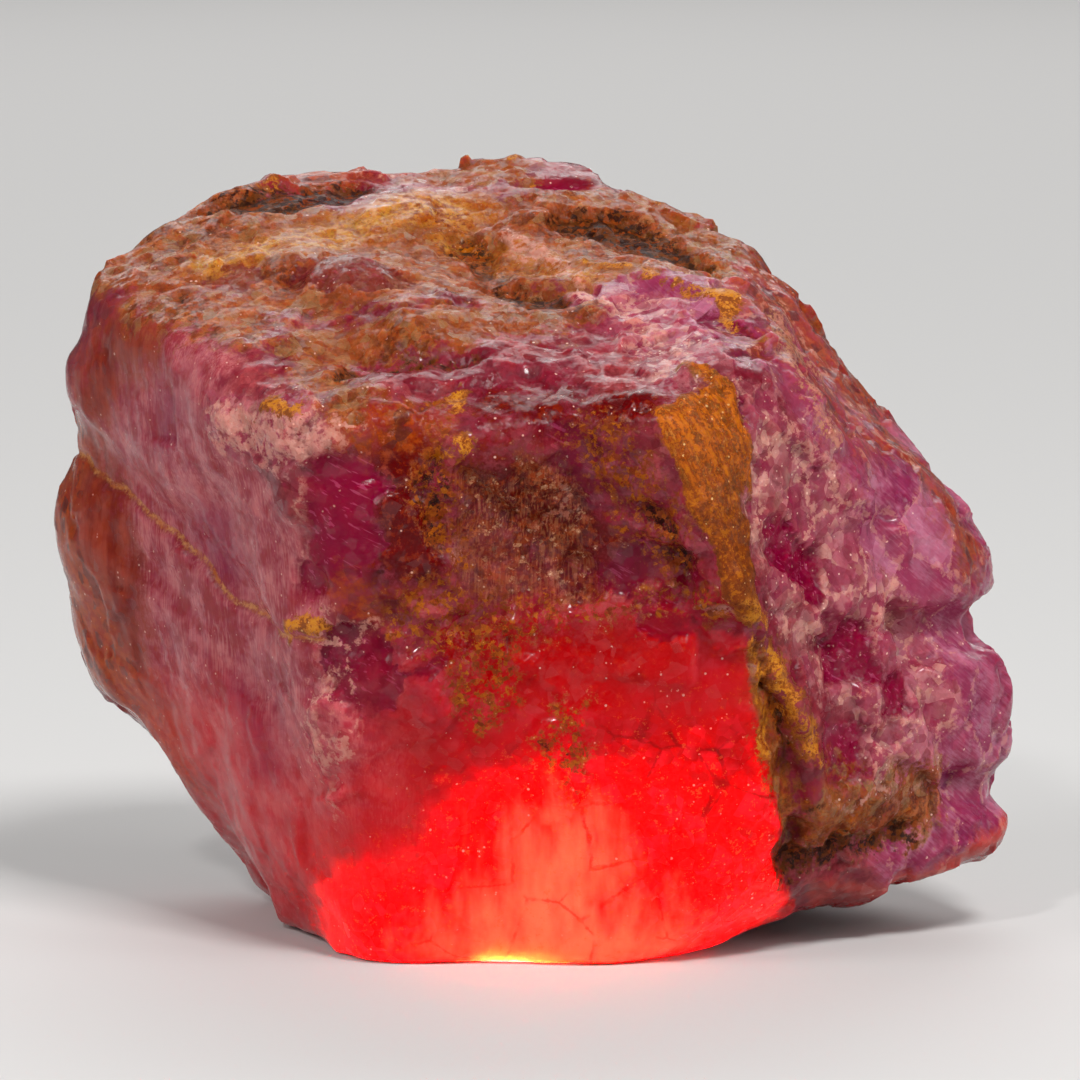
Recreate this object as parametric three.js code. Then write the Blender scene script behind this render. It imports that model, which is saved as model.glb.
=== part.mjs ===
// A raw ruby crystal: one stubby six-sided prism of corundum, worn round at its edges and
// broken off flat at its foot, with hollows, ledges, cracks and rusty seams. It grew as one
// piece, so it is one solid.
// Units are millimetres: +X is the stone's right, +Y its back and +Z up.
// The origin is on the resting plane, under the middle of the stone.
import * as THREE from "three";
import { ImprovedNoise } from "three/addons/math/ImprovedNoise.js";
import { mergeVertices } from "three/addons/utils/BufferGeometryUtils.js";

// Overall size of the finished stone.
const WIDTH = 21.5;
const DEPTH = 16.8;
const HEIGHT = 17.1;

// The surface is worked out along rays from this point inside the stone.
const HEART = new THREE.Vector3(0, 0, 8.8);
const RAY_DIVISIONS = 18; // 20 x (18 + 1)^2 triangles

// How crisply neighbouring faces meet, and how their edges are then worn down.
const CRISPNESS = 44;
const WEAR_PASSES = 4;
const WEAR = 0.5;

// Broken facets all over the surface: how far apart, how far out and how steeply they sit.
const FACET_SEED = 18;
const FACET_SPACING = 3.0;
const FACET_STEP = 0.1;
const FACET_TILT = 0.1;
const FACET_BLEND = 0.25;

// Waves of fine unevenness, from long and high to short and low.
const UNEVENNESS = [
  { wavelength: 3.4, height: 0.2 },
  { wavelength: 1.7, height: 0.12 },
];

const vector = (xyz) => new THREE.Vector3(...xyz);

// A flat face through a point, looking in a direction, kept as its distance from the heart.
function flatFace(point, direction) {
  const normal = vector(direction).normalize();
  return { normal, distance: vector(point).sub(HEART).dot(normal) };
}

// The crystal's own faces and its large breaks, each as a point on it and the way it looks.
const FACES = [
  flatFace([0, 0, 14.8], [-0.02, -0.27, 0.96]), // basal face on top
  flatFace([-9.1, 2.5, 16.7], [-0.48, 0, 0.88]), // bevel at its left
  flatFace([6.15, 0, 13.2], [0.71, -0.1, 0.68]), // long slope at its right
  flatFace([3, 4.5, 16.1], [0.36, 0.1, 0.93]), // cap between the two
  flatFace([-8, -1.9, 9], [-0.83, -0.5, -0.22]), // left prism face
  flatFace([-11.05, 2, 9], [-0.98, 0.1, 0.14]), // worn left edge
  flatFace([0, -7.7, 9.5], [-0.03, -0.97, -0.22]), // front prism face
  flatFace([4.5, -7.3, 9.5], [0.7, -0.66, 0.06]), // right prism face
  flatFace([10.3, 1, 6], [0.98, 0.05, 0.05]), // broken right end
  flatFace([-8, -0.5, 3.2], [-0.78, -0.12, -0.62]), // taper to the foot, left
  flatFace([8.6, 0, 1.35], [0.3, 0, -0.95]), // taper to the foot, right
  flatFace([5.2, -3.6, 0.7], [0.5, -0.45, -0.74]), // chipped corner of the foot
  flatFace([-8.6, 6, 9], [-0.7, 0.68, 0.18]), // back left prism face
  flatFace([0.5, 8.2, 8], [0.05, 0.99, 0.1]), // back prism face
  flatFace([6.6, 5.4, 8.5], [0.66, 0.74, 0.08]), // back right prism face
  flatFace([-1, 7.4, 2], [-0.1, 0.72, -0.68]), // taper to the foot, back
  flatFace([0, 0, -0.7], [0, 0, -1]), // foot, cut flat below
];

// Round swellings, and hollows with a negative height.
const SWELLINGS = [
  { at: [-0.8, 6, 16.4], radius: 3.2, height: 0.2 }, // back of the top
  { at: [-6.3, 5.6, 16.2], radius: 2.4, height: 0.35 },
  { at: [-3.7, -1, 14.4], radius: 1.4, height: 0.45 }, // knobs on the top
  { at: [-2.4, -3.4, 13.8], radius: 1.3, height: 0.4 },
  { at: [-0.8, 1, 15.1], radius: 1.5, height: -0.6 }, // rusty pits on the top
  { at: [2.8, 1.7, 15.3], radius: 1.8, height: -0.5 },
  { at: [-3.4, -5.4, 13.2], radius: 1.3, height: -0.3 }, // trough behind the front edge
  { at: [0.1, -8, 10], radius: 2.6, height: -0.5 }, // earthy hollows in the front
  { at: [1.8, -7.9, 9.4], radius: 1.3, height: -0.35 },
  { at: [6.7, -5.2, 7], radius: 0.9, height: -0.4 }, // pits in the right prism face
  { at: [7.1, -4.9, 5.1], radius: 0.9, height: -0.4 },
  { at: [10.4, 1.6, 7.9], radius: 1.4, height: 0.4 }, // lobes of the right end
  { at: [10.4, 0, 4.6], radius: 2.2, height: 0.2 },
  { at: [10, -0.6, 2.9], radius: 1.2, height: 0.35 },
  { at: [8.4, -0.9, 1.5], radius: 2.2, height: 0.4 }, // keel under the right end
  { at: [-4, 8, 10.5], radius: 2.6, height: -0.5 }, // scoops in the back
  { at: [3.4, 7.6, 5], radius: 2.2, height: -0.45 },
];

// Ledges, where one side of a break stands proud of the other.
const LEDGE_SLOPE = 0.3;
const LEDGES = [
  { at: [-8.6, -0.8, 8.2], towards: [-0.69, 0, -0.72], rise: 0.35, radius: 4.5 }, // left face
  { at: [-0.5, 2.2, 15.4], towards: [0.89, 0.45, 0], rise: 0.3, radius: 4.5 }, // top
  { at: [2, 7.8, 9], towards: [0.3, 0, 0.95], rise: 0.4, radius: 4 }, // back
  { at: [8.2, 3.6, 10.5], towards: [0.2, 0.6, -0.77], rise: 0.35, radius: 3.5 }, // back right
];

// Seams along a line of points: raised where iron cement fills them, sunk where it is gone.
const SEAMS = [
  { // crack across the left face
    path: [[-10.5, 1.2, 10.7], [-9.1, -0.5, 10], [-7.5, -2.7, 8.8], [-5.9, -4.7, 7.3]],
    radius: 0.5,
    height: -0.35,
  },
  { // blade of cement on the front right edge, wide above and narrow below
    path: [[2.5, -7.8, 12.5], [3.3, -7.9, 10.7], [4, -7.4, 8.6]],
    radius: 0.85,
    height: 0.45,
  },
  {
    path: [[4, -7.4, 8.6], [4.9, -6.9, 7.3], [5.8, -6.2, 5.2]],
    radius: 0.55,
    height: 0.35,
  },
  { // slot below the blade
    path: [[5.2, -6.4, 5.6], [5.6, -5.8, 4], [5.7, -5.3, 2.4]],
    radius: 0.5,
    height: -0.45,
  },
  { // notches between the lobes of the right end
    path: [[10.3, 0.6, 6.7], [9.4, -2.3, 6.5], [8.6, -3.2, 7]],
    radius: 0.45,
    height: -0.5,
  },
  {
    path: [[10.4, -0.8, 3.6], [9.3, -2.6, 3.2], [8, -3.8, 2.4]],
    radius: 0.45,
    height: -0.4,
  },
  { // pale rib over the right shoulder
    path: [[1.4, 1.1, 15.2], [3.6, -1.6, 14.4], [5.4, -2.9, 13.6], [6.8, -4.3, 11.6]],
    radius: 0.6,
    height: 0.22,
  },
  { // crack down the back
    path: [[-6.5, 6.6, 14], [-2, 8.2, 9], [1.5, 8, 3.5]],
    radius: 0.5,
    height: -0.35,
  },
];

// Distance from the heart to the surface along a ray, inside all the faces at once.
function reach(ray) {
  let sum = 0;
  for (const { normal, distance } of FACES) {
    sum += Math.max(0, normal.dot(ray) / distance) ** CRISPNESS;
  }
  return sum ** (-1 / CRISPNESS);
}

// Wears the edges round by drawing every point towards its neighbours.
function wear(points, corners) {
  const sums = points.map(() => new THREE.Vector3());
  const counts = points.map(() => 0);
  for (let i = 0; i < corners.length; i++) {
    const next = i % 3 === 2 ? i - 2 : i + 1; // the same triangle's next corner
    sums[corners[i]].add(points[corners[next]]);
    counts[corners[i]] += 1;
  }
  return points.map((point, i) => point.clone().lerp(sums[i].divideScalar(counts[i]), WEAR));
}

// Facets are set at random in a block that holds the whole stone.
function brokenFacets() {
  THREE.MathUtils.seededRandom(FACET_SEED);
  const upTo = (limit) => (THREE.MathUtils.seededRandom() * 2 - 1) * limit;
  const cells = (WIDTH * DEPTH * HEIGHT) / FACET_SPACING ** 3;
  return Array.from({ length: Math.round(cells) }, () => ({
    centre: vector([upTo(WIDTH / 2), upTo(DEPTH / 2), upTo(HEIGHT / 2)]).add(HEART),
    slope: vector([upTo(FACET_TILT), upTo(FACET_TILT), upTo(FACET_TILT)]),
    step: upTo(FACET_STEP),
  }));
}

// The facets nearest to a point decide how far it stands out, blended where two meet.
function facetRelief(point, facets) {
  const distances = facets.map(({ centre }) => point.distanceTo(centre));
  const least = Math.min(...distances);
  let sum = 0;
  let total = 0;
  facets.forEach(({ centre, slope, step }, i) => {
    const weight = Math.exp((least - distances[i]) / FACET_BLEND);
    sum += weight * (step + slope.dot(point.clone().sub(centre)));
    total += weight;
  });
  return sum / total;
}

const bell = (distance, radius) => Math.exp(-((distance / radius) ** 2));

function distanceToPath(point, path) {
  const nearest = new THREE.Vector3();
  let least = Infinity;
  for (let i = 1; i < path.length; i++) {
    const stretch = new THREE.Line3(vector(path[i - 1]), vector(path[i]));
    stretch.closestPointToPoint(point, true, nearest);
    least = Math.min(least, nearest.distanceTo(point));
  }
  return least;
}

// How far the surface stands out at a point, from all its relief together.
function relief(point, facets, noise) {
  let out = facetRelief(point, facets);
  for (const { at, radius, height } of SWELLINGS) {
    out += height * bell(point.distanceTo(vector(at)), radius);
  }
  for (const { at, towards, rise, radius } of LEDGES) {
    const offset = point.clone().sub(vector(at));
    const side = offset.dot(vector(towards).normalize());
    out += rise * THREE.MathUtils.smoothstep(side, 0, LEDGE_SLOPE) * bell(offset.length(), radius);
  }
  for (const { path, radius, height } of SEAMS) {
    out += height * bell(distanceToPath(point, path), radius);
  }
  for (const { wavelength, height } of UNEVENNESS) {
    const p = point.clone().divideScalar(wavelength);
    out += height * noise.noise(p.x, p.y, p.z);
  }
  return out;
}

// The rays' tips form a closed ball, which takes the stone's shape and is cut flat at its foot.
function stoneGeometry() {
  const ball = new THREE.IcosahedronGeometry(1, RAY_DIVISIONS);
  ball.deleteAttribute("normal");
  ball.deleteAttribute("uv");
  const geometry = mergeVertices(ball);
  const position = geometry.getAttribute("position");
  let points = [];
  for (let i = 0; i < position.count; i++) {
    const ray = new THREE.Vector3().fromBufferAttribute(position, i).normalize();
    points.push(ray.clone().multiplyScalar(reach(ray)).add(HEART));
  }
  for (let pass = 0; pass < WEAR_PASSES; pass++) {
    points = wear(points, geometry.index.array);
  }
  const facets = brokenFacets();
  const noise = new ImprovedNoise();
  points.forEach((point, i) => {
    const outwards = point.clone().sub(HEART).normalize();
    point.addScaledVector(outwards, relief(point, facets, noise));
    position.setXYZ(i, point.x, point.y, Math.max(0, point.z));
  });
  return fitToSize(geometry);
}

// Brings the outline to the overall size, centred over the origin.
function fitToSize(geometry) {
  geometry.computeBoundingBox();
  const size = geometry.boundingBox.getSize(new THREE.Vector3());
  const middle = geometry.boundingBox.getCenter(new THREE.Vector3());
  geometry.translate(-middle.x, -middle.y, 0);
  geometry.scale(WIDTH / size.x, DEPTH / size.y, HEIGHT / size.z);
  geometry.computeVertexNormals();
  return geometry;
}

const stone = new THREE.Mesh(
  stoneGeometry(),
  new THREE.MeshStandardMaterial({ color: 0x9a4a63, roughness: 0.45, metalness: 0 }),
);
stone.name = "ruby_crystal";

const crystal = new THREE.Group();
crystal.add(stone);
export default crystal;
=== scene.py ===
import math

import bpy
import numpy as np
from mathutils import Matrix, Vector, noise


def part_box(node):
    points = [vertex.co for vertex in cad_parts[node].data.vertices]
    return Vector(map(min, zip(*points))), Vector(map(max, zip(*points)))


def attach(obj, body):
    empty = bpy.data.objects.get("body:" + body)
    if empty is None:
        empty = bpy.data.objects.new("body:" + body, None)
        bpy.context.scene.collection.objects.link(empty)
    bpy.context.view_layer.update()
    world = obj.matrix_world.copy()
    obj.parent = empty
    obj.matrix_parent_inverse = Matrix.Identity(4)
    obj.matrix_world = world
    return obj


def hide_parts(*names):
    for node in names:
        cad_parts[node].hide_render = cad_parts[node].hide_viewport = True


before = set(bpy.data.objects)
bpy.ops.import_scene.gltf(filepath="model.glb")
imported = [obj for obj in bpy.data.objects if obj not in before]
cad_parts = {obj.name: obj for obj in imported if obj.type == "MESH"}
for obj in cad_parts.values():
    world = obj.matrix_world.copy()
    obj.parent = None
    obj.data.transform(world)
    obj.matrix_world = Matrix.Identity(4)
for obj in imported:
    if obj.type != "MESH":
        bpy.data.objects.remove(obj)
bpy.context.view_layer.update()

# Camera: a long lens level with the stone's middle, looking a little down on its front face,
# so that the stone keeps its proportions and fills the frame.
MILLIMETRE = 0.001
camera_target = Vector((0.24, 0.0, 8.75)) * MILLIMETRE
camera_distance = 200 * MILLIMETRE
camera_elevation = math.radians(7)
frame_width = 24.3 * MILLIMETRE
towards_camera = Vector((0, -math.cos(camera_elevation), math.sin(camera_elevation)))
bpy.ops.object.camera_add(location=camera_target + camera_distance * towards_camera)
camera = bpy.context.object
camera.rotation_euler = towards_camera.to_track_quat("Z", "Y").to_euler()
camera.data.lens = camera.data.sensor_width * camera_distance / frame_width
camera.data.clip_start = 10 * MILLIMETRE
camera.data.clip_end = 3.0
bpy.context.scene.camera = camera

# Raw ruby crystal: one piece of corundum that grew as a six-sided prism. It starts as the
# solid's own shape, with a dense even skin that the breaks and crumbs are then worked into.
GRAIN = 0.13  # mm between neighbouring points of the skin
WELD = 0.01  # mm within which the solid's points are made one
SETTLE_ROUNDS = 5
NOISE_SEED = 3  # fixes the noise's own shifts, so that each run gives the same stone
noise.seed_set(NOISE_SEED)
stone_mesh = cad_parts["ruby_crystal"].data.copy()
stone = bpy.data.objects.new("raw_ruby", stone_mesh)
bpy.context.collection.objects.link(stone)
bpy.ops.object.select_all(action="DESELECT")
bpy.context.view_layer.objects.active = stone
stone.select_set(True)
stone_mesh.transform(Matrix.Scale(1 / MILLIMETRE, 4))
bpy.ops.object.mode_set(mode="EDIT")
bpy.ops.mesh.select_all(action="SELECT")
bpy.ops.mesh.remove_doubles(threshold=WELD)
bpy.ops.object.mode_set(mode="OBJECT")
skin = stone.modifiers.new("skin", "REMESH")
skin.mode = "VOXEL"
skin.voxel_size = GRAIN
bpy.ops.object.modifier_apply(modifier=skin.name)


def smooth_skin(name, rounds):
    """Evens out the skin of the stone."""
    even = stone.modifiers.new(name, "SMOOTH")
    even.factor = 0.5
    even.iterations = rounds
    bpy.ops.object.modifier_apply(modifier=even.name)


smooth_skin("settle", SETTLE_ROUNDS)
stone_mesh = stone.data

# Places on the crystal are fractions of its width, depth and height, from its lowest corner.
# A zone is all that lies within a radius in mm of a line of places; its value is the depth
# inside it in mm, below 0 outside.
FAR = 3.0  # mm, the depth inside a zone at which nothing changes any more
box_low, box_high = [np.array(corner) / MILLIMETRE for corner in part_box("ruby_crystal")]
points = np.empty(len(stone_mesh.vertices) * 3)
stone_mesh.vertices.foreach_get("co", points)
points = points.reshape(-1, 3)


def ripple(wavelength, seed=0.0):
    """Smooth noise at every point of the skin, from about -0.5 to 0.5."""
    offset = Vector((seed, seed, seed))
    return np.array([noise.noise(Vector(p) / wavelength + offset) for p in points])


def wander(wavelength, height):
    """A smooth random shift of every point, which makes the edge of a zone ragged."""
    return height * np.array([noise.noise_vector(Vector(p) / wavelength) for p in points])


def chipped(size, share):
    """Every point drawn part of the way to the heart of its own break, for straight-sided zones."""
    hearts = np.array([noise.voronoi(Vector(p) / size)[1][0] for p in points]) * size
    return points + share * (hearts - points)


ragged = points + wander(1.3, 0.4) + wander(0.5, 0.2)
angular = chipped(0.75, 0.7) + wander(2.0, 0.2)
smooth = points + wander(1.6, 0.15)
from_front = (points + wander(1.6, 0.15) + wander(0.6, 0.12)) * (1, 0, 1) + (0, box_low[1], 0)


def zone(*lines, places=ragged):
    """The depth in mm inside a zone of lines, each a radius and then its places."""
    deepest = np.full(len(points), -FAR)
    for radius, *path in lines:
        corners = [box_low + (box_high - box_low) * np.array(corner) for corner in path]
        deepest = np.maximum(deepest, radius - np.linalg.norm(places - corners[0], axis=1))
        for start, end in zip(corners, corners[1:]):
            along = end - start
            share = np.clip((places - start) @ along / (along @ along), 0, 1)
            reach = np.linalg.norm(places - start - share[:, None] * along, axis=1)
            deepest = np.maximum(deepest, radius - reach)
    return deepest


def front_zone(*lines):
    """A zone whose places are given as seen from the front, across and up, whatever their depth."""
    return zone(
        *[(radius, *[(across, 0, up) for across, up in path]) for radius, *path in lines],
        places=from_front,
    )


def front_panel(*corners):
    """The depth in mm inside a straight-sided patch seen from the front, its corners clockwise."""
    deepest = np.full(len(points), FAR)
    spots = [box_low + (box_high - box_low) * (across, 0, up) for across, up in corners]
    for start, end in zip(spots, spots[1:] + spots[:1]):
        inward = np.array((end[2] - start[2], 0, start[0] - end[0])) / np.linalg.norm(end - start)
        deepest = np.minimum(deepest, (from_front - start) @ inward)
    return deepest


def facets(size, tilt, seed=0.0):
    """Flat broken facets, each at its own tilt and depth."""
    out = np.empty(len(points))
    for i, point in enumerate(points):
        place = Vector(point) / size + Vector((seed, seed, seed))
        centre = noise.voronoi(place)[1][0]
        lean = noise.noise_vector(centre * 5.3)
        out[i] = lean.dot(place - centre) + 0.35 * lean.x
    return out * size * tilt


def inside(depth, softness=0.08):
    """Turns a depth inside a zone into a step from 0 outside to 1 inside."""
    share = np.clip((depth + softness) / (2 * softness), 0, 1)
    return share * share * (3 - 2 * share)


def any_of(names, softness):
    """1 where a point lies inside any of these zones."""
    return np.maximum.reduce([inside(fields[name], softness) for name in names])


# Where the crystal is clean, silky, crumbly, stained, cemented, or dark and sunk.
fields = {
    "window": zone(
        (0.62, (0.30, 0.04, 0.64), (0.33, 0.03, 0.64)),
        (0.85, (0.30, 0.05, 0.58), (0.32, 0.04, 0.58)),
        (0.6, (0.29, 0.08, 0.51), (0.31, 0.06, 0.52)),
        (0.55, (0.75, 0.11, 0.55), (0.79, 0.18, 0.51)),
        (0.35, (0.63, 0.06, 0.76)),
        places=angular,
    ),
    "plum": zone(
        (0.75, (0.32, 0.09, 0.42), (0.34, 0.07, 0.38)),
        (0.45, (0.40, 0.06, 0.39)),
        (0.55, (0.57, 0.07, 0.52), (0.62, 0.05, 0.54), (0.65, 0.03, 0.52)),
        (0.45, (0.61, 0.06, 0.46), (0.69, 0.04, 0.46)),
        (0.5, (0.55, 0.03, 0.70), (0.56, 0.06, 0.61)),
        (1.0, (0.29, 0.43, 0.87), (0.33, 0.41, 0.87)),
        (0.6, (0.19, 0.45, 0.86)),
        (0.5, (0.70, 0.28, 0.82), (0.72, 0.19, 0.79)),
        (0.4, (0.67, 0.06, 0.74), (0.70, 0.07, 0.72)),
        places=angular,
    ),
    "maroon": zone(
        (0.9, (0.37, 0.03, 0.67), (0.38, 0.04, 0.54)),
        (0.7, (0.47, 0.05, 0.75), (0.60, 0.03, 0.75)),
        (1.0, (0.45, 0.08, 0.42), (0.56, 0.08, 0.38), (0.62, 0.05, 0.42)),
        (0.9, (0.48, 0.05, 0.64), (0.56, 0.05, 0.55)),
    ),
    "blade": np.maximum(
        front_panel((0.624, 0.735), (0.700, 0.762), (0.729, 0.46), (0.708, 0.46)),
        front_zone((0.13, (0.66, 0.775), (0.70, 0.75), (0.715, 0.62))),
    ),
    "ochre": zone(
        (0.3, (0.43, 0.08, 0.75), (0.43, 0.03, 0.68)),
        (0.2, (0.55, 0.50, 0.88), (0.66, 0.38, 0.85), (0.70, 0.33, 0.84), (0.73, 0.25, 0.81)),
        (0.25, (0.23, 0.11, 0.73), (0.26, 0.07, 0.73)),
        (0.22, (0.26, 0.14, 0.44), (0.29, 0.11, 0.45)),
    ),
    "band": zone(
        (1.0, (0.19, 0.52, 0.88), (0.27, 0.58, 0.90), (0.35, 0.66, 0.92), (0.42, 0.70, 0.94)),
        (0.5, (0.42, 0.60, 0.91), (0.50, 0.50, 0.88), (0.56, 0.42, 0.86)),
    ),
    "gold": zone(
        (0.65, (0.58, 0.02, 0.69), (0.61, 0.03, 0.63), (0.64, 0.03, 0.55)),
        (0.4, (0.41, 0.03, 0.62), (0.43, 0.05, 0.54)),
        (0.35, (0.40, 0.06, 0.74), (0.41, 0.02, 0.65)),
        (0.75, (0.39, 0.06, 0.47), (0.47, 0.07, 0.45), (0.45, 0.08, 0.37)),
        (0.35, (0.50, 0.08, 0.46), (0.60, 0.05, 0.49), (0.68, 0.03, 0.49)),
        (0.3, (0.54, 0.10, 0.33), (0.54, 0.10, 0.24)),
        (0.6, (0.41, 0.66, 0.93), (0.44, 0.57, 0.88)),
        (0.4, (0.80, 0.22, 0.16), (0.88, 0.31, 0.20)),
        (0.3, (0.745, 0.10, 0.34), (0.76, 0.14, 0.22)),
    ),
    "rust": zone(
        (0.9, (0.11, 0.36, 0.80), (0.06, 0.45, 0.78), (0.05, 0.51, 0.70)),
        (2.3, (0.02, 0.60, 0.54), (0.03, 0.58, 0.46), (0.05, 0.60, 0.36), (0.10, 0.60, 0.26)),
        (0.6, (0.32, 0.03, 0.72), (0.39, 0.03, 0.71)),
        (0.35, (0.32, 0.07, 0.49), (0.36, 0.07, 0.48)),
        (0.9, (0.66, 0.62, 0.90), (0.70, 0.60, 0.88), (0.78, 0.55, 0.79)),
        (0.9, (0.78, 0.55, 0.79), (0.88, 0.46, 0.64), (0.95, 0.43, 0.52)),
        (0.4, (0.81, 0.18, 0.22), (0.88, 0.31, 0.17)),
        (0.75, (0.36, 0.24, 0.81), (0.40, 0.24, 0.82)),
        (0.5, (0.16, 0.35, 0.83)),
    ),
    "tan": zone(
        (3.1, (0.15, 0.6, 0.93), (0.3, 0.45, 0.95), (0.45, 0.5, 0.95), (0.6, 0.6, 0.95)),
        (1.0, (0.30, 0.26, 0.80), (0.37, 0.24, 0.81), (0.52, 0.3, 0.83)),
        (0.7, (0.27, 0.23, 0.79), (0.32, 0.05, 0.75)),
        (1.0, (0.12, 0.42, 0.86), (0.20, 0.30, 0.82)),
        (0.9, (0.81, 0.21, 0.17), (0.90, 0.33, 0.20)),
        (0.5, (0.73, 0.08, 0.37), (0.75, 0.14, 0.24), (0.75, 0.20, 0.13)),
    ),
    # Dark, sunk patches: in pits and hollows on the top, in cracks, and beside the raised blade and vein.
    "sunk_dark": zone(
        (0.5, (0.44, 0.60, 0.89), (0.47, 0.42, 0.86), (0.52, 0.36, 0.84)),
        (0.7, (0.55, 0.64, 0.93), (0.60, 0.65, 0.91), (0.66, 0.55, 0.88)),
        (0.7, (0.18, 0.70, 0.94), (0.30, 0.76, 0.95)),
        (0.3, (0.32, 0.15, 0.76), (0.37, 0.17, 0.77), (0.44, 0.16, 0.78)),
        (0.22, (0.41, 0.03, 0.66), (0.41, 0.03, 0.56)),
        (0.3, (0.62, 0.04, 0.60), (0.66, 0.03, 0.51)),
        (0.16, (0.72, 0.06, 0.44), (0.75, 0.09, 0.36), (0.77, 0.14, 0.25)),
        (0.2, (0.77, 0.14, 0.25), (0.77, 0.23, 0.10)),
        (0.2, (0.14, 0.40, 0.84)),
        (0.18, (0.54, 0.09, 0.29)),
        (0.38, (0.77, 0.22, 0.12), (0.83, 0.29, 0.14), (0.88, 0.34, 0.16)),
    ),
    "crumb": zone(
        (0.8, (0.20, 0.16, 0.70), (0.30, 0.03, 0.70)),
        (0.5, (0.30, 0.10, 0.44), (0.30, 0.11, 0.37), (0.29, 0.15, 0.24)),
        (1.7, (0.72, 0.07, 0.66), (0.76, 0.15, 0.60), (0.81, 0.20, 0.47), (0.88, 0.30, 0.34)),
        (1.1, (0.85, 0.24, 0.23), (0.91, 0.32, 0.32)),
        (0.9, (0.61, 0.33, 0.83), (0.65, 0.17, 0.80), (0.68, 0.06, 0.72)),
        (0.3, (0.53, 0.06, 0.62), (0.53, 0.08, 0.51)),
        (0.35, (0.43, 0.05, 0.55)),
    ),
    "mica": zone(
        (0.95, (0.46, 0.05, 0.60), (0.47, 0.07, 0.52)),
        (0.8, (0.51, 0.05, 0.64), (0.53, 0.07, 0.52)),
    ),
    # Pale rims along the ridges: partly crumbled stone, partly painted highlight; also raised a little in
    # the relief.
    "frost": zone(
        (0.1, (0.58, 0.06, 0.495), (0.66, 0.04, 0.495), (0.71, 0.03, 0.48)),
        (0.12, (0.56, 0.05, 0.55), (0.60, 0.04, 0.575), (0.65, 0.03, 0.55)),
        (0.12, (0.30, 0.09, 0.46), (0.36, 0.07, 0.455)),
        (0.15, (0.27, 0.06, 0.66), (0.26, 0.08, 0.58), (0.265, 0.09, 0.50)),
        (0.2, (0.45, 0.64, 0.92), (0.53, 0.49, 0.87), (0.57, 0.35, 0.84), (0.61, 0.27, 0.81)),
        (0.15, (0.61, 0.27, 0.81), (0.66, 0.13, 0.78), (0.70, 0.07, 0.70), (0.73, 0.07, 0.62)),
        (0.12, (0.72, 0.17, 0.77), (0.77, 0.17, 0.69), (0.81, 0.20, 0.62)),
        (0.45, (0.20, 0.16, 0.70), (0.24, 0.10, 0.69), (0.30, 0.03, 0.70)),
        (0.2, (0.30, 0.11, 0.38), (0.29, 0.15, 0.24)),
    ),
    "rib": front_zone((0.14, (0.76, 0.81), (0.775, 0.77), (0.80, 0.71), (0.82, 0.67))),
    "silk": zone((4.4, (0.12, 0.35, 0.6), (0.2, 0.3, 0.4), (0.25, 0.3, 0.2))),
    "lilac": zone((4.0, (0.74, 0.38, 0.82), (0.9, 0.42, 0.5), (0.98, 0.42, 0.25))),
    "ember": zone(
        (3.4, (0.38, 0.2, 0.0), (0.53, 0.12, 0.08)),
        (4.6, (0.55, 0.12, 0.10), (0.68, 0.11, 0.14)),
    ),
    # Where the lamp's painted hot spot lies, at the foot.
    "hot": zone(
        (1.3, (0.47, 0.15, 0.0), (0.60, 0.14, 0.0)),
        (1.0, (0.52, 0.15, 0.06), (0.53, 0.13, 0.14)),
    ),
    "bloom": front_zone(
        (0.3, (0.13, 0.71), (0.12, 0.66)),
        (0.4, (0.17, 0.56), (0.19, 0.50)),
        (0.4, (0.20, 0.33), (0.23, 0.24)),
    ),
    # Where the lamp's red glow is painted into the cloudy body, low on the front left.
    "painted_glow_flush": front_zone((2.4, (0.22, 0.10), (0.30, 0.05)), (1.6, (0.16, 0.24))),
    "keel": front_zone((0.6, (0.82, 0.06), (0.88, 0.06), (0.94, 0.08), (0.99, 0.12))),
    "crack": front_zone(
        (0.06, (0.0, 0.625), (0.08, 0.575), (0.15, 0.52), (0.20, 0.46), (0.25, 0.43), (0.29, 0.435)),
    ),
}

# Marks drawn as seen from the front, which stop short of the back.
FRONT_END = 4.5  # mm behind the stone's middle
in_front = points[:, 1] < FRONT_END
for name, patches in {
    "window": (
        front_panel((0.798, 0.455), (0.848, 0.44), (0.858, 0.355), (0.803, 0.36)),
        front_panel((0.803, 0.315), (0.85, 0.305), (0.85, 0.235), (0.812, 0.225)),
        front_panel((0.856, 0.365), (0.888, 0.37), (0.897, 0.31), (0.86, 0.30)),
    ),
    "rust": (front_zone((0.6, (0.65, 0.94), (0.72, 0.875), (0.79, 0.79), (0.87, 0.68))),),
    "tan": (front_zone((0.38, (0.735, 0.41), (0.756, 0.27), (0.768, 0.13))),),
    "ochre": (
        front_zone((0.11, (0.715, 0.49), (0.748, 0.43), (0.775, 0.34), (0.797, 0.26))),
        front_zone((0.09, (0.72, 0.47), (0.738, 0.38), (0.745, 0.28))),
    ),
}.items():
    fields[name] = np.maximum(fields[name], np.where(in_front, np.maximum.reduce(patches), -FAR))
for name in ("crack", "keel", "rib", "blade", "bloom", "painted_glow_flush"):
    fields[name] = np.where(in_front, fields[name], -FAR)

# The light's red ends at the dark seam that runs down the right of the front face.
SEAM_FOOT = 6.1  # mm across from the stone's middle, at its foot
SEAM_LEAN = 0.185  # mm back towards the middle for each mm up
fields["rise"] = points[:, 2]
fields["seam"] = SEAM_FOOT - SEAM_LEAN * points[:, 2] - smooth[:, 0]

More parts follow.
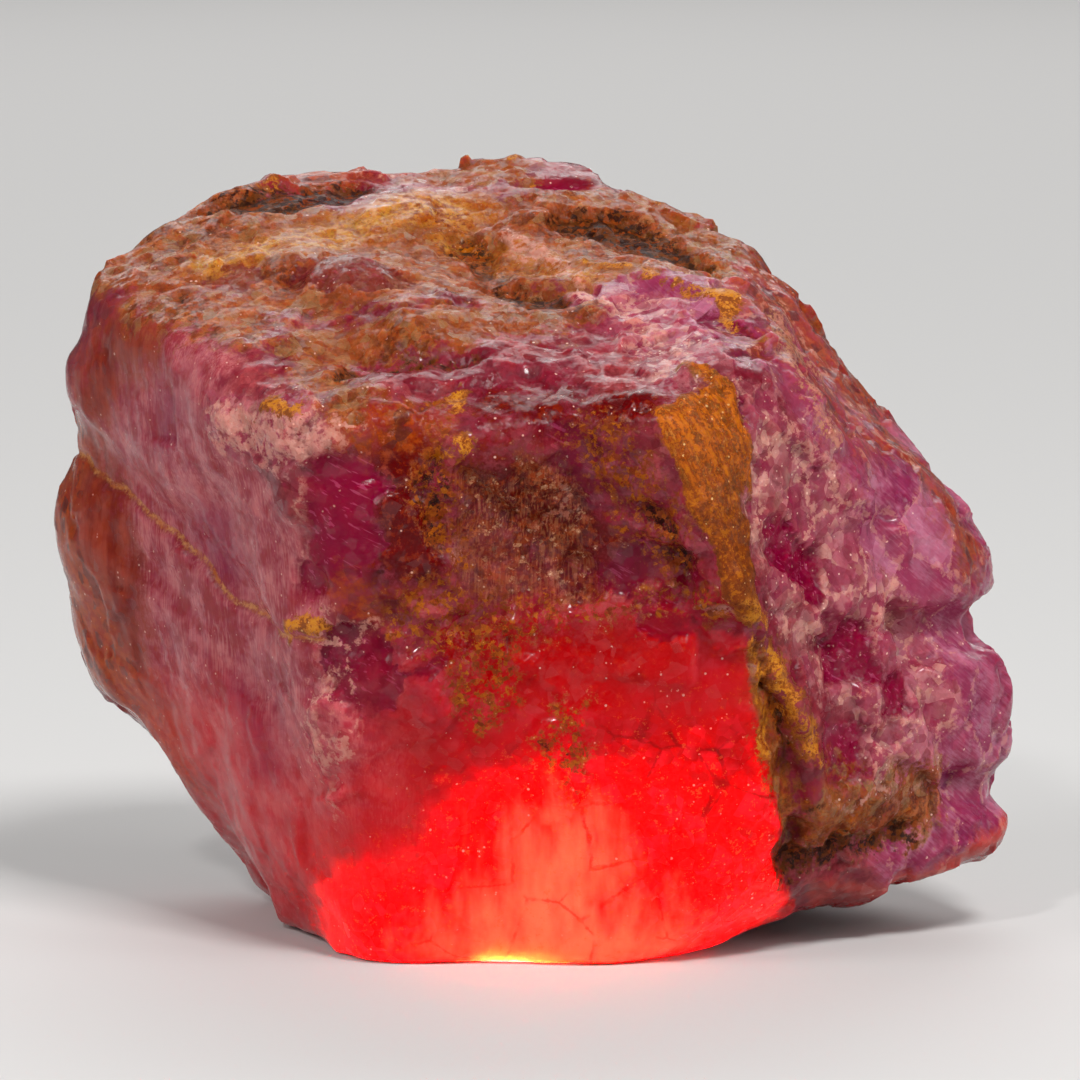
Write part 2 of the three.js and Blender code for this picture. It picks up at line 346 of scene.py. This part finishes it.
# The same stains and windows run on round the back, where they follow the noise alone.
BACK_START = 3.2  # mm behind the stone's middle
back = inside(points[:, 1] - BACK_START, 1.6)
back *= 1 - 0.8 * inside(zone((4.0, (0.0, 0.7, 0.62), (0.03, 0.7, 0.4), (0.15, 0.6, 0.15))), 1.0)
patchy = ripple(3.1, seed=3) + 0.5 * ripple(1.2, seed=5)
for name, depth in {
    "rust": 2.4 * patchy - 0.3,
    "tan": 2.4 * ripple(2.7, seed=31) - 0.3,
    "ochre": np.minimum(0.16 - 2.0 * np.abs(ripple(2.6, seed=9)), 3.0 * ripple(2.1, seed=21)),
    "window": 2.4 * ripple(2.2, seed=13) - 0.75,
    "crumb": 2.4 * ripple(1.9, seed=17) - 0.5,
}.items():
    fields[name] = np.maximum(fields[name], depth * back - FAR * (1 - back))

# How broken and how rough the skin is: least on silk, windows, the blade, the worn left side
# and the glowing foot, and most on crumbs, cement and the dark sunk patches.
worn_side = inside(zone(
    (3.6, (0.0, 0.62, 0.62), (0.03, 0.66, 0.4), (0.12, 0.62, 0.2), (0.24, 0.5, 0.03)),
    (1.8, (0.03, 0.5, 0.78)),
), 0.8)
glassy_foot = inside(np.minimum(fields["ember"] - 0.5, fields["seam"]), 0.8)
clean = np.maximum.reduce([
    any_of(("silk", "window", "plum"), 0.5), inside(fields["blade"], 0.2), worn_side, glassy_foot,
])
grainy = any_of(("crumb", "tan", "mica", "gold", "sunk_dark"), 0.3) * (1 - worn_side)
broken = 1 - 0.75 * clean * (1 - 0.5 * grainy)
fields["rough"] = np.clip(0.35 + 0.65 * grainy - 0.28 * clean * (1 - grainy), 0, 1)

# The relief in mm, worked outwards along the skin: broken facets in three sizes, the raised
# blade, sunk windows, the open crack, silk lines, knobs and pits.
relief = facets(1.9, 0.2) * (0.25 + 0.75 * broken)
relief += facets(0.85, 0.28, seed=11) * broken * (1 - 0.4 * back)
relief += facets(0.42, 0.26, seed=23) * fields["rough"] * (1 - 0.6 * back)
for name, lift, softness in (
    ("blade", 0.17, 0.07),
    ("ochre", 0.10, 0.15),
    ("rib", 0.12, 0.15),
    ("frost", 0.07, 0.12),
    ("window", -0.18, 0.12),
    ("plum", -0.12, 0.12),
    ("sunk_dark", -0.26, 0.2),
    ("crack", -0.12, 0.09),
    ("mica", -0.12, 0.3),
):
    relief += lift * inside(fields[name], softness)
fibre = np.array([noise.noise(Vector((p[0] * 3.2, p[1] * 3.2, p[2] * 0.5))) for p in points])
relief += 0.03 * fibre * inside(fields["silk"], 0.5)
knobs = zone((0.9, (0.31, 0.42, 0.86)), (0.8, (0.38, 0.24, 0.81)))
relief += 0.35 * inside(knobs, 0.5)
pits = zone(
    (0.14, (0.54, 0.10, 0.24)),
    (0.14, (0.56, 0.14, 0.08)),
    (0.12, (0.63, 0.14, 0.08)),
    (0.12, (0.42, 0.15, 0.07)),
)
relief -= 0.35 * inside(pits, 0.1)

# Notches and lobes of the outline: how far each goes in or out, how wide it is, and its line
# as seen from the front. The relief fades out at the foot, which stays flat.
FOOT_FADE = 0.8  # mm above the floor
for push, reach, *path in (
    (-0.50, 0.50, (0.90, 0.41), (0.96, 0.40), (1.0, 0.41)),
    (-0.35, 0.40, (0.95, 0.19), (0.99, 0.185), (1.0, 0.19)),
    (0.10, 0.80, (0.98, 0.46)),
    (0.10, 1.10, (0.97, 0.32), (0.99, 0.25)),
    (0.10, 0.50, (0.98, 0.13)),
    (0.15, 1.50, (0.01, 0.45), (0.05, 0.32)),
    (0.25, 0.90, (0.01, 0.70)),
    (-0.30, 0.90, (0.09, 0.25), (0.155, 0.127), (0.21, 0.048), (0.27, 0.0)),
    (-0.15, 1.00, (0.02, 0.82), (0.05, 0.88)),
    (-0.25, 0.90, (0.44, 1.0), (0.58, 0.99), (0.68, 0.94)),
    (-0.15, 0.90, (0.68, 0.94), (0.78, 0.82), (0.88, 0.66)),
    (-0.20, 0.25, (0.86, 0.56), (0.88, 0.42), (0.92, 0.32), (0.95, 0.20)),
    (-0.35, 0.30, (0.75, 0.36), (0.77, 0.25), (0.775, 0.12)),
    (0.20, 0.90, (0.85, 0.06), (0.92, 0.07), (0.97, 0.10)),
):
    relief += push * inside(front_zone((reach, *path)), 0.7 * reach)
normals = np.empty(len(points) * 3)
stone_mesh.vertices.foreach_get("normal", normals)
normals = normals.reshape(-1, 3)
foot_fade = np.clip(points[:, 2] / FOOT_FADE, 0, 1)
shaped = points + normals * (relief * foot_fade)[:, None]
shaped[:, 2] = np.maximum(shaped[:, 2], 0)
stone_mesh.vertices.foreach_set("co", (shaped * MILLIMETRE).ravel())
stone_mesh.update()
smooth_skin("worn", 1)
stone_mesh = stone.data
for name, values in fields.items():
    layer = stone_mesh.attributes.new(name, "FLOAT", "POINT")
    layer.data.foreach_set("value", values.astype(np.float32))
bpy.ops.object.shade_smooth()


# Ruby finish. The body is cloudy corundum that light soaks into; the crust of iron stain,
# cement and dark sunk patches on it is opaque. One class writes the shader's sums as plain expressions.
class Wire:
    """An output of a node in the stone's material, for use in expressions."""

    def __init__(self, socket):
        self.socket = socket

    def math(self, operation, other):
        return add_node("ShaderNodeMath", {"operation": operation}, {0: self, 1: other})

    def __add__(self, other):
        return self.math("ADD", other)

    __radd__ = __add__

    def __mul__(self, other):
        return self.math("MULTIPLY", other)

    __rmul__ = __mul__

    def __sub__(self, other):
        return self.math("SUBTRACT", other)

    def __rsub__(self, other):
        return (self * -1.0) + other

    def __or__(self, other):
        return self.math("MAXIMUM", other)


def add_node(kind, settings=None, inputs=None, output=0):
    """Adds a node to the stone's material: its settings first, then its sockets' values or links."""
    node = nodes.new(kind)
    for name, value in (settings or {}).items():
        setattr(node, name, value)
    for name, value in (inputs or {}).items():
        if isinstance(value, Wire):
            links.new(value.socket, node.inputs[name])
        else:
            node.inputs[name].default_value = value
    return Wire(node.outputs[output])


def tint(red, green, blue):
    """A screen colour, 0 to 255, as the linear colour that a shader takes."""
    return (*[(channel / 255) ** 2.2 for channel in (red, green, blue)], 1.0)


def blend(mask, under, over):
    """The second colour laid over the first where the mask is 1."""
    return add_node("ShaderNodeMix", {"data_type": "RGBA"}, {0: mask, 6: under, 7: over}, 2)


def coats(under, *layers):
    """Colours laid over one another in turn, each a mask and then its colour."""
    for amount, over in layers:
        under = blend(amount, under, over)
    return under


def field(name):
    return add_node("ShaderNodeAttribute", {"attribute_name": name}, output="Fac")


def step(value, edge, softness):
    """0 below an edge and 1 above it, with a soft change between."""
    return add_node(
        "ShaderNodeMapRange",
        {"interpolation_type": "SMOOTHSTEP"},
        {"Value": value, "From Min": edge - softness, "From Max": edge + softness},
    )


def sums(operation, one, other, output=0):
    return add_node("ShaderNodeVectorMath", {"operation": operation}, {0: one, 1: other}, output)


def scaled(place, scale):
    return add_node("ShaderNodeVectorMath", {"operation": "SCALE"}, {0: place, "Scale": scale})


def placed(stretch=(1, 1, 1), turn=(0, 0, 0), shift=0.0):
    """The place on the stone in mm, for a pattern turned and then drawn out along its own axes."""
    return add_node(
        "ShaderNodeMapping",
        {"vector_type": "TEXTURE"},
        {"Vector": millimetres, "Scale": stretch, "Rotation": turn, "Location": (shift, shift, shift)},
    )


def grain(scale, detail=3.0, roughness=0.6, **kind):
    """Noise from 0 to 1 with this many waves a millimetre."""
    return add_node(
        "ShaderNodeTexNoise",
        {},
        {"Vector": placed(**kind), "Scale": scale, "Detail": detail, "Roughness": roughness},
    )


class Breaks:
    """Broken facets of one size in mm: a tilted plane for each, its edges, and its own luck."""

    def __init__(self, size):
        self.size = size
        self.place = scaled(millimetres, 1 / size)
        self.near = add_node("ShaderNodeTexVoronoi", {}, {"Vector": self.place, "Scale": 1.0}, "Distance")
        cell = self.near.socket.node
        lean = sums("SUBTRACT", Wire(cell.outputs["Color"]), (0.5, 0.5, 0.5))
        arm = sums("SUBTRACT", self.place, Wire(cell.outputs["Position"]))
        self.height = sums("DOT_PRODUCT", arm, lean, "Value") * size
        parts = add_node("ShaderNodeSeparateColor", {}, {0: Wire(cell.outputs["Color"])}).socket.node
        self.luck, self.other_luck, self.third_luck = [Wire(part) for part in parts.outputs]

    def edge(self):
        """The distance to the nearest edge of a facet, in mm."""
        return self.size * add_node(
            "ShaderNodeTexVoronoi", {"feature": "DISTANCE_TO_EDGE"}, {"Vector": self.place, "Scale": 1.0},
        )


def mask(name, raggedness=1.0, softness=0.07):
    """1 inside a zone and 0 outside, with a ragged edge."""
    return step(field(name) + ragged_edge * raggedness, 0.0, softness)


finish = bpy.data.materials.new("ruby")
finish.use_nodes = True
nodes, links = finish.node_tree.nodes, finish.node_tree.links
nodes.clear()
millimetres = scaled(add_node("ShaderNodeTexCoord", output="Object"), 1 / MILLIMETRE)

# Patterns from coarse to fine. The same noises swinging about 0 break up every edge.
broad = grain(0.42, 2, 0.6)
patch = grain(1.3, 3, 0.65, shift=7)
speck = grain(4.5, 3, 0.7, shift=3)
fine = grain(15, 2, 0.75, shift=31)
patch_swing, speck_swing, fine_swing = patch - 0.5, speck - 0.5, fine - 0.5
ragged_edge = patch_swing * 1.3 + speck_swing * 1.0 + fine_swing * 0.5
big, middle, small, tiny = Breaks(1.7), Breaks(0.62), Breaks(0.27), Breaks(0.12)
upright_fibres = grain(20, 2, 0.6, stretch=(1, 1, 18))
streaks = grain(1.6, 3, 0.6, stretch=(1, 1, 5), shift=9)
slanted_fibres = grain(18, 2, 0.6, stretch=(22, 4, 1), turn=(0, math.radians(42), 0), shift=5)
scratches = grain(10, 2, 0.6, stretch=(9, 1, 1), turn=(0, math.radians(28), 0), shift=41)
plank_grain = grain(7, 3, 0.65, stretch=(1, 1, 9), turn=(0, math.radians(-25), 0), shift=2)

# Colours of the cloudy body and of the silk, lilac, crumbs and windows in it; some are painted sheen,
# facet light and shade, and glints.
MAUVE = tint(136, 48, 62)
ROSE = tint(160, 68, 72)
DUSKY = tint(98, 22, 34)
DEEP_ROSE = tint(122, 8, 40)
SHADE = tint(70, 4, 14)
LILAC = tint(150, 60, 88)
# The next two are painted facet shade: the lilac darker on one side of each facet.
LILAC_PAINTED_FACET_SHADE = tint(132, 38, 78)
LILAC_PAINTED_SMALL_FACET_SHADE = tint(126, 32, 70)
LILAC_PALE = tint(176, 98, 124)
# Painted sheen on the lilac shoulder.
LILAC_PAINTED_SHEEN = tint(204, 142, 166)
SILK_BASE = tint(146, 58, 70)
SILK_STREAK = tint(136, 36, 66)
# Pale silk colours: partly the silk's own paleness, partly painted sheen.
SILK_CLOUD_AND_PAINTED_SHEEN = tint(190, 116, 120)
SILK_AND_PAINTED_SHEEN = tint(206, 140, 134)
SILK_RUST = tint(140, 44, 34)
BLOOM = tint(118, 20, 62)
CRUMB_BASE = tint(164, 84, 92)
# The crumb facet colour and the palest crumb colour also serve as painted light on one side of each crumb
# facet.
CRUMB_PAINTED_FACET_LIGHT = tint(194, 122, 126)
CRUMB_DARK = tint(118, 26, 44)
CRUMB_CLEAR = tint(138, 24, 64)
PALE_CRUMB_AND_HIGHLIGHT = tint(206, 146, 130)
WINDOW = tint(124, 0, 46)
SCRATCH = tint(190, 80, 120)
PLUM = tint(106, 8, 42)
MAROON = tint(90, 2, 0)
KEEL = tint(128, 4, 10)
KEEL_PALE = tint(178, 66, 60)
# Painted glint: a pale colour standing in for highlights on single grains.
PAINTED_GLINT = tint(232, 188, 172)

# Colours of the stains, the crust and the light's red, which is partly the lamp's glow painted in.
RUST = tint(140, 44, 10)
RUST_STREAK = tint(134, 52, 26)
RUST_DARK = tint(92, 22, 10)
TERRACOTTA = tint(134, 66, 28)
BROWN = tint(70, 28, 8)
TAN = tint(150, 90, 42)
ORANGE = tint(172, 74, 14)
CREAM = tint(180, 136, 84)
GILT_PALE = tint(194, 132, 48)
GILT = tint(160, 92, 22)
GILT_BROWN = tint(124, 66, 22)
# Near-black and brown grains, for the dark sunk patches and the crust's specks.
DARK_GRAIN = tint(30, 12, 2)
BROWN_GRAIN = tint(88, 44, 6)
CRUST = tint(128, 54, 18)
CRUST_DARK = tint(78, 20, 4)
CRUST_FIBRE = tint(164, 104, 66)
CRUST_FLAKE = tint(206, 154, 112)
OCHRE = tint(118, 50, 2)
WAX = tint(154, 66, 12)
YELLOW = tint(184, 106, 14)
VEIN = tint(176, 98, 34)
VEIN_PALE = tint(200, 132, 40)
PLANK = tint(188, 96, 18)
PLANK_DARK = tint(124, 50, 4)
PLANK_PALE = tint(200, 124, 44)
PLANK_FOOT = tint(96, 42, 6)
GOLD = tint(172, 92, 8)
GOLD_BROWN = tint(104, 34, 4)
# Painted glint on the cement's grains.
GOLD_PAINTED_GLINT = tint(236, 190, 120)
CRACK = tint(196, 136, 84)
CRACK_DARK = tint(176, 96, 40)
RIB_PINK = tint(190, 120, 104)
# Painted red glow of the lamp in the cloudy body.
PAINTED_GLOW_HAZE = tint(204, 4, 14)
# The clear ruby's red with the lamp's glow painted in; facet shade, pink highlight, fade and hot spot are
# painted light.
GLOW_PAINTED_RED = tint(222, 0, 10)
GLOW_PAINTED_DEEP = tint(196, 0, 8)
GLOW_PAINTED_FACET_SHADE = tint(140, 0, 12)
EMBER_DARK = tint(120, 0, 8)
GLOW_PAINTED_HIGHLIGHT = tint(232, 36, 50)
# Painted glint on the glowing red.
GLOW_PAINTED_GLINT = tint(250, 150, 130)
GLOW_PAINTED_FADE = tint(130, 0, 12)
GLOW_PAINTED_HOT_SPOT = tint(250, 120, 84)
EMBER_SPECK = tint(214, 90, 40)
FISSURE = tint(110, 8, 4)

# Where each stuff lies.
window = mask("window", 0.35, 0.14)
plum = mask("plum", 0.5, 0.12)
maroon = mask("maroon", 1.0, 0.3)
silk = mask("silk", 1.0, 0.5)
bloom = mask("bloom", 0.7, 0.4)
lilac = mask("lilac", 1.0, 0.5)
crumb = mask("crumb", 1.2, 0.25)
keel = mask("keel", 0.3, 0.12)
rust = mask("rust", 1.2, 0.6)
tan = mask("tan", 1.6, 0.3)
band = mask("band", 1.4, 0.5)
mica = mask("mica", 1.0, 0.3)
painted_glow_flush = mask("painted_glow_flush", 1.2, 1.3)
seam = mask("seam", 0.3, 0.1)
ochre = mask("ochre", 0.8, 0.06)
blade = mask("blade", 0.3, 0.05)
sunk_dark = mask("sunk_dark", 1.2, 0.15)
gold = mask("gold", 1.4, 0.3) * step(tiny.luck * 0.5 + speck_swing * 1.6 + fine_swing * 1.2, 0.28, 0.16)
rib = mask("rib", 0.9, 0.1) * step(fine + speck_swing * 0.8, 0.46, 0.08)
crack = step(field("crack") + fine_swing * 0.2, -0.01, 0.06)
clear = window | (plum * 0.8)
# The lamp's red glow painted into the cloudy body low down, and where the stone turns to clear ruby.
painted_glow_haze = step(field("ember") + patch_swing * 2.4 + speck_swing, -1.3, 2.2) * seam
onset = step(field("ember") + ragged_edge * 1.4, -0.3, 2.6)
ember = onset * onset * onset * seam * (1 - plum * 0.6)
even = silk | lilac | window | (crumb * 0.7)
shade = (small.other_luck * 0.3 + middle.third_luck * 0.3) * (1 - even * 0.85)

# Pale frosted rims, partly crumbled stone and partly painted highlight, and painted glints on single
# grains.
frost_and_highlight = step(field("frost") + ragged_edge * 0.5, 0.0, 0.1) * step(speck, 0.44, 0.08)
big_edge = big.edge()
pale_edge = step(big_edge * -1.0 + speck_swing * 0.7, -0.02, 0.04) * (crumb | (lilac * 0.6))
sparkling = crumb | tan * 0.3 | mica
# Painted glints: tiny pale dots of painted highlight, thickest on crumbs, tan and mica.
painted_glint = step(tiny.third_luck * 0.24 - tiny.near, -0.02, 0.07)
painted_glint = painted_glint * step(tiny.luck + speck_swing * 1.2 + sparkling * 0.14, 0.92, 0.04)
painted_glint = painted_glint * (1 - silk * 0.3) * (1 - clear * 0.5)

# Body colour, from cloudy mauve to clear magenta, with the stain that has soaked in.
# Lilac with painted facet shade: darker on one side of each big and middle facet.
lilac_tint = coats(
    blend(step(big.height + (big.luck - 0.5) * 0.6, 0.0, 0.4), LILAC, LILAC_PAINTED_FACET_SHADE),
    (step(big.other_luck + patch_swing, 0.6, 0.1), LILAC_PALE),
    (step(middle.height + (middle.luck - 0.6) * 0.4, 0.0, 0.14) * 0.5, LILAC_PAINTED_SMALL_FACET_SHADE),
)
stain = coats(
    blend(step(patch + speck_swing * 0.6, 0.5, 0.1), RUST, TERRACOTTA),
    (step(speck, 0.52, 0.07) * 0.6, ORANGE),
    (step(small.luck + patch_swing, 0.8, 0.08) * 0.8, BROWN),
    (silk * 0.8, blend(step(streaks, 0.5, 0.15), RUST_DARK, RUST_STREAK)),
)
gilding = coats(
    blend(step(patch + speck_swing * 0.8, 0.5, 0.1), GILT_PALE, GILT),
    (step(speck + fine_swing * 0.6, 0.56, 0.06) * 0.7, GILT_BROWN),
)
earth = coats(
    blend(step(patch + speck_swing * 0.6, 0.48, 0.06), TERRACOTTA, TAN),
    (step(speck + (small.luck - 0.5) * 0.2, 0.5, 0.08) * 0.8, BROWN),
    (step(broad + speck_swing * 0.8, 0.52, 0.06) * 0.6, TERRACOTTA),
    (step(speck * -1.0 + fine_swing * 0.6, -0.45, 0.05) * 0.3, ORANGE),
    (step(small.luck + patch_swing, 0.76, 0.1) * 0.35, CREAM),
    (band * 0.9, gilding),
)
body = coats(
    blend(step(broad + patch_swing * 0.8, 0.5, 0.08), MAUVE, ROSE),
    (step(middle.luck + patch_swing * 1.5, 0.62, 0.08) * 0.6 * (1 - (lilac | silk) * 0.7), DEEP_ROSE),
    (step(speck, 0.53, 0.07) * 0.5 * (1 - silk * 0.6), DUSKY),
    (lilac * 0.9, lilac_tint),
    # painted sheen along the lilac's slanting fibres
    (lilac * step(slanted_fibres + patch_swing * 1.2, 0.6, 0.25) * 0.3, LILAC_PAINTED_SHEEN),
    (silk * 0.7, SILK_BASE),
    (silk * step(streaks, 0.47, 0.14) * 0.6, SILK_STREAK),
    # pale cloudy patches and pale silk threads, partly their own colour and partly painted sheen
    (silk * step(patch + (streaks - 0.5) * 1.2, 0.54, 0.16) * 0.4, SILK_CLOUD_AND_PAINTED_SHEEN),
    (silk * step(upright_fibres + patch_swing * 0.9, 0.56, 0.2) * 0.4, SILK_AND_PAINTED_SHEEN),
    (bloom * 0.7, BLOOM),
    (silk * step(patch * -1.0 + speck_swing * 0.5, -0.42, 0.09) * 0.45, SILK_RUST),
    (crumb * 0.6, CRUMB_BASE),
    # Painted light on the crumbs: paler on one side of each facet, as if lit.
    (crumb * step(middle.height + (middle.luck - 0.5) * 0.3, 0.0, 0.14) * 0.7, CRUMB_PAINTED_FACET_LIGHT),
    (crumb * step(small.height + (small.luck - 0.7) * 0.2, 0.0, 0.05) * 0.6, PALE_CRUMB_AND_HIGHLIGHT),
    (crumb * step(small.other_luck + speck_swing * 0.5, 0.72, 0.06) * 0.5, CRUMB_DARK),
    (crumb * step(middle.luck + patch_swing, 0.66, 0.05) * 0.7, CRUMB_CLEAR),
    (maroon, MAROON),
    (maroon * step(speck, 0.56, 0.06) * 0.6, RUST),
    (plum * 0.9, PLUM),
    (window, WINDOW),
    (keel, blend(step(field("keel") + patch_swing, 0.3, 0.2), KEEL_PALE, KEEL)),
    (clear * step(scratches, 0.63, 0.03) * 0.4, SCRATCH),
    (shade, SHADE),
    (rust * 0.85, stain),
    ((tan | band) * (1 - plum * 0.6) * 0.9, earth),
    # painted red glow of the lamp, low on the cloudy body
    (((painted_glow_haze * 0.8) | (painted_glow_flush * 0.5)) * (1 - plum * 0.5), PAINTED_GLOW_HAZE),
    # pale crumbs on facet edges and pale frosted rims, the rims partly painted highlight
    (((frost_and_highlight * 0.65) | (pale_edge * 0.6)) * (1 - window), PALE_CRUMB_AND_HIGHLIGHT),
    # painted glints
    (painted_glint * 0.8, PAINTED_GLINT),
)

# Deep red where light comes through from the foot: the ruby's red with the lamp's glow partly painted in.
fissure = step(big_edge * -1.0 + speck_swing * 0.15, -0.03, 0.02)
ruby_red_and_painted_glow = coats(
    blend(step(patch + speck_swing * 0.6, 0.5, 0.2), GLOW_PAINTED_DEEP, GLOW_PAINTED_RED),
    # painted facet shade on the glowing red
    (step(middle.height + (middle.luck - 0.6) * 0.3, 0.0, 0.15) * 0.4, GLOW_PAINTED_FACET_SHADE),
    (step(small.luck + speck_swing, 0.84, 0.15) * 0.3, EMBER_DARK),
    # painted pink highlight on one side of each small facet
    (step(small.height + (middle.luck - 0.8) * 0.2, 0.0, 0.06) * 0.5, GLOW_PAINTED_HIGHLIGHT),
    # painted glints
    (painted_glint, GLOW_PAINTED_GLINT),
    # painted fade of the glow away from its middle
    (step(field("ember") * -1.0 + patch_swing * 2.5, -1.0, 1.2) * 0.75, GLOW_PAINTED_FADE),
    # painted hot spot of the lamp near the foot
    (step(field("hot") + (streaks - 0.5) * 3.0, 0.0, 1.1), GLOW_PAINTED_HOT_SPOT),
    (fissure * step(patch, 0.5, 0.08) * 0.6, FISSURE),
    (step(speck + fine_swing * 0.7, 0.66, 0.04) * 0.4, EMBER_SPECK),
)

# Crust that light does not pass: ochre cement, the crack's filling, the rib, grit and dark sunk patches.
sunk_dark_grains = coats(
    blend(step(tiny.luck + fine_swing, 0.6, 0.1), DARK_GRAIN, BROWN_GRAIN),
    (step(tiny.other_luck + fine_swing, 0.85, 0.04), OCHRE),
)
plank = coats(
    blend(step(plank_grain, 0.5, 0.12), PLANK_DARK, PLANK),
    (step(plank_grain * -1.0 + speck_swing, -0.38, 0.06) * 0.6, PLANK_PALE),
    (step(field("rise") * -1.0 + patch_swing * 3.0, -10.8, 1.5) * 0.75, PLANK_FOOT),
)
cement = coats(
    blend(step(patch + speck_swing * 0.5, 0.5, 0.1), OCHRE, WAX),
    (blade, plank),
    (ochre * 0.85, blend(step(speck + fine_swing * 0.5, 0.5, 0.06), VEIN_PALE, VEIN)),
    (step(speck * -1.0 + fine_swing * 0.5, -0.42, 0.05) * 0.5, YELLOW),
    (step(speck + fine_swing * 0.5, 0.56, 0.05) * 0.6, BROWN),
    # painted glints
    (painted_glint * 0.8, GOLD_PAINTED_GLINT),
)
cemented = ochre | blade | gold
crust = coats(
    blend(step(speck + patch_swing * 0.5, 0.5, 0.1), CRUST_DARK, CRUST),
    (step(upright_fibres, 0.54, 0.05) * 0.5, CRUST_FIBRE),
    (step(tiny.luck + fine_swing * 1.5, 0.92, 0.08) * step(speck, 0.5, 0.1) * 0.8, CRUST_FLAKE),
    (step(tiny.other_luck + fine_swing, 0.78, 0.1) * 0.6, DARK_GRAIN),
    # near-black and brown grains in the dark sunk patches
    (sunk_dark, sunk_dark_grains),
    (cemented, cement),
    (gold * tiny.third_luck * 0.9, GOLD),
    (gold * step(tiny.other_luck + fine_swing, 0.6, 0.1) * 0.8, GOLD_BROWN),
    (crack, blend(step(speck, 0.5, 0.1), CRACK_DARK, CRACK)),
    (rib, blend(step(speck, 0.5, 0.1), CREAM, RIB_PINK)),
)
crusted = (cemented * 0.95) | (sunk_dark * 0.9) | (crack * 0.75) | (rib * 0.6) | (mica * 0.6)

# Surface breaks, in mm of height, their gloss, and the three stuffs that make up the stone.
height = (small.height * 0.6 + tiny.height * 0.7 + fine * 0.03) * field("rough")
bumped = add_node("ShaderNodeBump", {}, {"Strength": 1.0, "Distance": MILLIMETRE, "Height": height})
gloss = 0.12 + small.luck * 0.18 - clear * 0.04
glossy = step(small.luck + speck_swing, 0.68, 0.1) * 0.45 * (1 - (silk | tan | rust) * 0.8)


def shader(colour, roughness, **sockets):
    """A Principled shader with the stone's bumps; light soaks into it if it has a subsurface."""
    inputs = {"Base Color": colour, "Roughness": roughness, "Normal": bumped}
    inputs.update({name.replace("_", " "): value for name, value in sockets.items()})
    return add_node("ShaderNodeBsdfPrincipled", {"subsurface_method": "RANDOM_WALK"}, inputs)


milky_ruby = shader(
    body, gloss, IOR=1.6, Specular_IOR_Level=0.1, Coat_Weight=glossy, Coat_Roughness=0.12,
    Subsurface_Weight=0.8, Subsurface_Radius=(1.0, 0.4, 0.4), Subsurface_Scale=0.6 * MILLIMETRE,
)
clear_ruby = shader(
    ruby_red_and_painted_glow, gloss, IOR=1.6, Specular_IOR_Level=0.08,
    Subsurface_Weight=1.0, Subsurface_Radius=(1.0, 0.22, 0.17), Subsurface_Scale=6.5 * MILLIMETRE,
)
opaque_crust = shader(crust, 0.7 - tiny.third_luck * 0.4, IOR=1.5, Specular_IOR_Level=0.12)
ruby = add_node("ShaderNodeMixShader", {}, {0: ember, 1: milky_ruby, 2: clear_ruby})
surface = add_node("ShaderNodeMixShader", {}, {0: crusted, 1: ruby, 2: opaque_crust})
material_output = nodes.new("ShaderNodeOutputMaterial")
links.new(surface.socket, material_output.inputs["Surface"])
stone_mesh.materials.clear()
stone_mesh.materials.append(finish)

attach(stone, "root")
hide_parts("ruby_crystal")

# Pale floor: one wide sheet with a small round opening under the foot, which the stone covers,
# so that the lamp below can shine up into the stone as a gem torch does.
OPENING_RADIUS = 3.9 * MILLIMETRE
FLOOR_DROP = 0.02  # mm below the foot
opening_centre = Vector((0, -1.0, -FLOOR_DROP)) * MILLIMETRE
bpy.ops.mesh.primitive_circle_add(vertices=128, radius=OPENING_RADIUS, location=opening_centre)
floor = bpy.context.object
floor.name = "floor"
bpy.ops.object.mode_set(mode="EDIT")
bpy.ops.mesh.select_all(action="SELECT")
for spread in (30, 12):
    bpy.ops.mesh.extrude_region_move()
    bpy.ops.transform.resize(value=(spread, spread, 1), center_override=opening_centre)
bpy.ops.mesh.select_all(action="SELECT")
bpy.ops.mesh.normals_make_consistent(inside=False)
bpy.ops.object.mode_set(mode="OBJECT")
bpy.ops.object.transform_apply(location=True, rotation=False, scale=False)
pale = bpy.data.materials.new("pale floor")
pale.use_nodes = True
pale_shader = pale.node_tree.nodes["Principled BSDF"]
pale_shader.inputs["Base Color"].default_value = (0.62, 0.61, 0.60, 1)
pale_shader.inputs["Roughness"].default_value = 0.7
floor.data.materials.append(pale)

# Lights, each with its azimuth and elevation in degrees, distance and size in m, and power in W:
# a soft key above the front, a small light for the sparkle, and fills at the sides and back.
for name, azimuth, elevation, distance, size, power in (
    ("key", 22, 50, 0.35, 0.08, 0.9),
    ("spark", -20, 35, 0.35, 0.025, 0.3),
    ("left fill", -60, 30, 0.35, 0.16, 0.35),
    ("right fill", 65, 25, 0.35, 0.16, 0.3),
    ("back fill", 180, 35, 0.4, 0.3, 0.6),
):
    angle, rise = math.radians(azimuth), math.radians(elevation)
    away = Vector((math.sin(angle) * math.cos(rise), -math.cos(angle) * math.cos(rise), math.sin(rise)))
    bpy.ops.object.light_add(type="AREA", location=camera_target + distance * away)
    light = bpy.context.object
    light.name = name
    light.rotation_euler = away.to_track_quat("Z", "Y").to_euler()
    light.data.size = size
    light.data.energy = power

# Lamp under the foot, which shines up through the floor's opening.
lamp_place = Vector((0.3, -2.6, -1.6)) * MILLIMETRE
bpy.ops.object.light_add(type="AREA", location=lamp_place, rotation=(math.pi, 0, 0))
lamp = bpy.context.object
lamp.name = "lamp under the foot"
lamp.data.shape = "DISK"
lamp.data.size = 3.2 * MILLIMETRE
lamp.data.energy = 0.066
lamp.data.color = (1.0, 0.64, 0.8)

# Dim grey all round.
WORLD_GREY = 0.82
world = bpy.data.worlds.new("studio")
bpy.context.scene.world = world
world.use_nodes = True
background = world.node_tree.nodes["Background"]
background.inputs["Color"].default_value = (WORLD_GREY, WORLD_GREY, WORLD_GREY, 1)
background.inputs["Strength"].default_value = 0.16
bpy.context.scene.view_settings.view_transform = "Standard"
